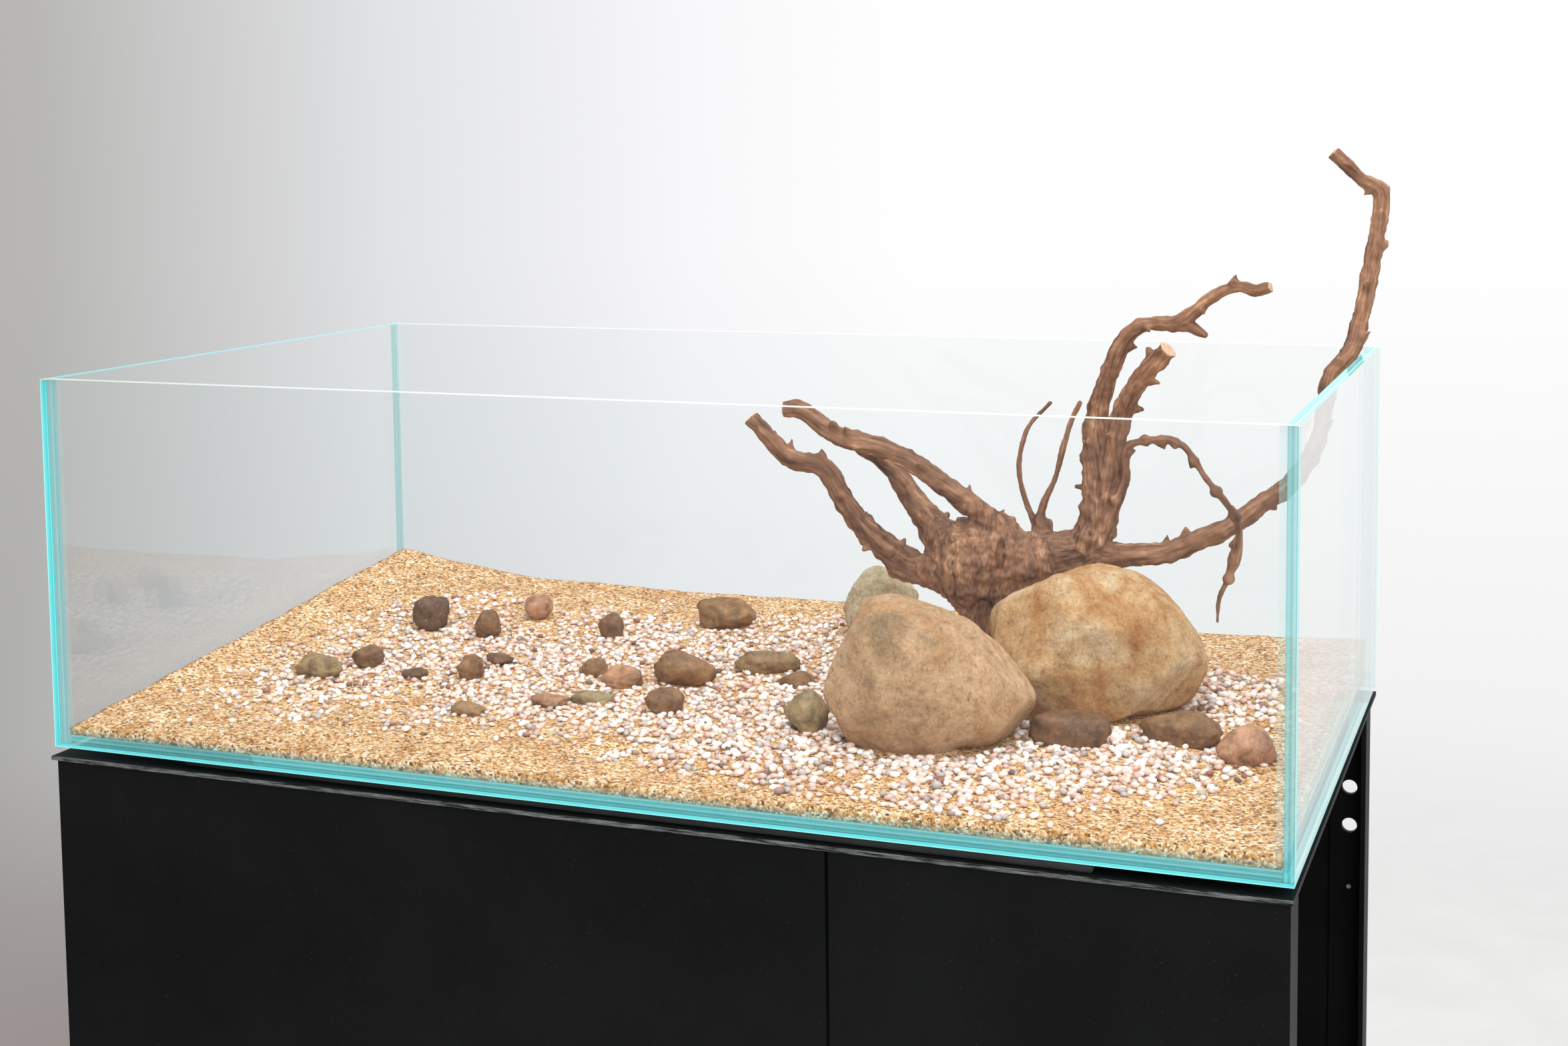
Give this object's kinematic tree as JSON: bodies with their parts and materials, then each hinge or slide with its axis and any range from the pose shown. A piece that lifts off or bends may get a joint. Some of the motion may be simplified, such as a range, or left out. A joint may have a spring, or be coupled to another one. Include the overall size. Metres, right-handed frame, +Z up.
{
  "type": "aquarium on stand",
  "caption": "Rimless glass aquarium with a dry hardscape of sand, pebbles, boulders and driftwood, on a foam mat and a black steel cabinet stand with a hinged door.",
  "frame": {"origin": "on the floor, under the middle of the tank and stand", "axes": "+X to the object's right seen from the front, +Y to the back, +Z up; the front faces -Y"},
  "size_m": [1.2103, 0.662, 1.3325],
  "materials": {
    "low_iron_glass": "polished float glass",
    "clear_silicone": "cured clear silicone",
    "foam": "closed-cell foam, matt",
    "black_powder_coat": "fine-textured black powder coat",
    "zinc_steel": "bright zinc plated",
    "black_nylon": "moulded nylon",
    "sand": "coarse quartz sand",
    "pebbles": "washed rounded pebbles",
    "tan_boulder": "weathered tan stone",
    "river_stone": "smooth brown river stone",
    "driftwood": "dry weathered root wood"
  },
  "bodies": {
    "stand_and_tank": {"base_glass": "low_iron_glass", "front_glass": "low_iron_glass", "back_glass": "low_iron_glass", "left_glass": "low_iron_glass", "right_glass": "low_iron_glass", "base_seals": "clear_silicone", "corner_seals": "clear_silicone", "cushion_mat": "foam", "top_plate": "black_powder_coat", "front_top_rail": "black_powder_coat", "back_top_rail": "black_powder_coat", "left_top_rail": "black_powder_coat", "right_top_rail": "black_powder_coat", "cross_rails": "black_powder_coat", "front_bottom_rail": "black_powder_coat", "back_bottom_rail": "black_powder_coat", "left_bottom_rail": "black_powder_coat", "right_bottom_rail": "black_powder_coat", "front_left_post": "black_powder_coat", "front_right_post": "black_powder_coat", "back_left_post": "black_powder_coat", "back_right_post": "black_powder_coat", "front_middle_post": "black_powder_coat", "back_middle_post": "black_powder_coat", "front_panel": "black_powder_coat", "left_side_panel": "black_powder_coat", "back_panel": "black_powder_coat", "floor_panel": "black_powder_coat", "hinge_brackets": "black_powder_coat", "back_panel_screws": "zinc_steel", "hinge_pins": "zinc_steel", "foot_lock_nuts": "zinc_steel", "foot_weld_nuts": "zinc_steel", "magnetic_catch": "black_nylon", "sand_bed": "sand", "pebble_layer": "pebbles", "front_boulder": "tan_boulder", "right_boulder": "tan_boulder", "rear_boulder": "tan_boulder", "river_stones_left": "river_stone", "river_stones_middle": "river_stone", "river_stones_right": "river_stone", "driftwood": "driftwood"},
    "door": {"front_door": "black_powder_coat", "hinge_bushes": "black_nylon", "catch_strike": "zinc_steel"},
    "foot_front_left": {"foot_stud_front_left": "zinc_steel", "foot_base_front_left": "black_nylon"},
    "foot_front_middle": {"foot_stud_front_middle": "zinc_steel", "foot_base_front_middle": "black_nylon"},
    "foot_front_right": {"foot_stud_front_right": "zinc_steel", "foot_base_front_right": "black_nylon"},
    "foot_back_left": {"foot_stud_back_left": "zinc_steel", "foot_base_back_left": "black_nylon"},
    "foot_back_middle": {"foot_stud_back_middle": "zinc_steel", "foot_base_back_middle": "black_nylon"},
    "foot_back_right": {"foot_stud_back_right": "zinc_steel", "foot_base_back_right": "black_nylon"}
  },
  "joints": [
    {"name": "door_swing", "type": "hinge", "parent": "stand_and_tank", "child": "door", "pos_m": [0.2235, -0.317, 0.387], "axis": [0, 0, -1], "range_deg": [0, 100]},
    {"name": "foot_screw_front_left", "type": "slide", "parent": "stand_and_tank", "child": "foot_front_left", "axis": [0, 0, -1], "range_m": [0, 0.012]},
    {"name": "foot_screw_front_middle", "type": "slide", "parent": "stand_and_tank", "child": "foot_front_middle", "axis": [0, 0, -1], "range_m": [0, 0.012]},
    {"name": "foot_screw_front_right", "type": "slide", "parent": "stand_and_tank", "child": "foot_front_right", "axis": [0, 0, -1], "range_m": [0, 0.012]},
    {"name": "foot_screw_back_left", "type": "slide", "parent": "stand_and_tank", "child": "foot_back_left", "axis": [0, 0, -1], "range_m": [0, 0.012]},
    {"name": "foot_screw_back_middle", "type": "slide", "parent": "stand_and_tank", "child": "foot_back_middle", "axis": [0, 0, -1], "range_m": [0, 0.012]},
    {"name": "foot_screw_back_right", "type": "slide", "parent": "stand_and_tank", "child": "foot_back_right", "axis": [0, 0, -1], "range_m": [0, 0.012]}
  ]
}
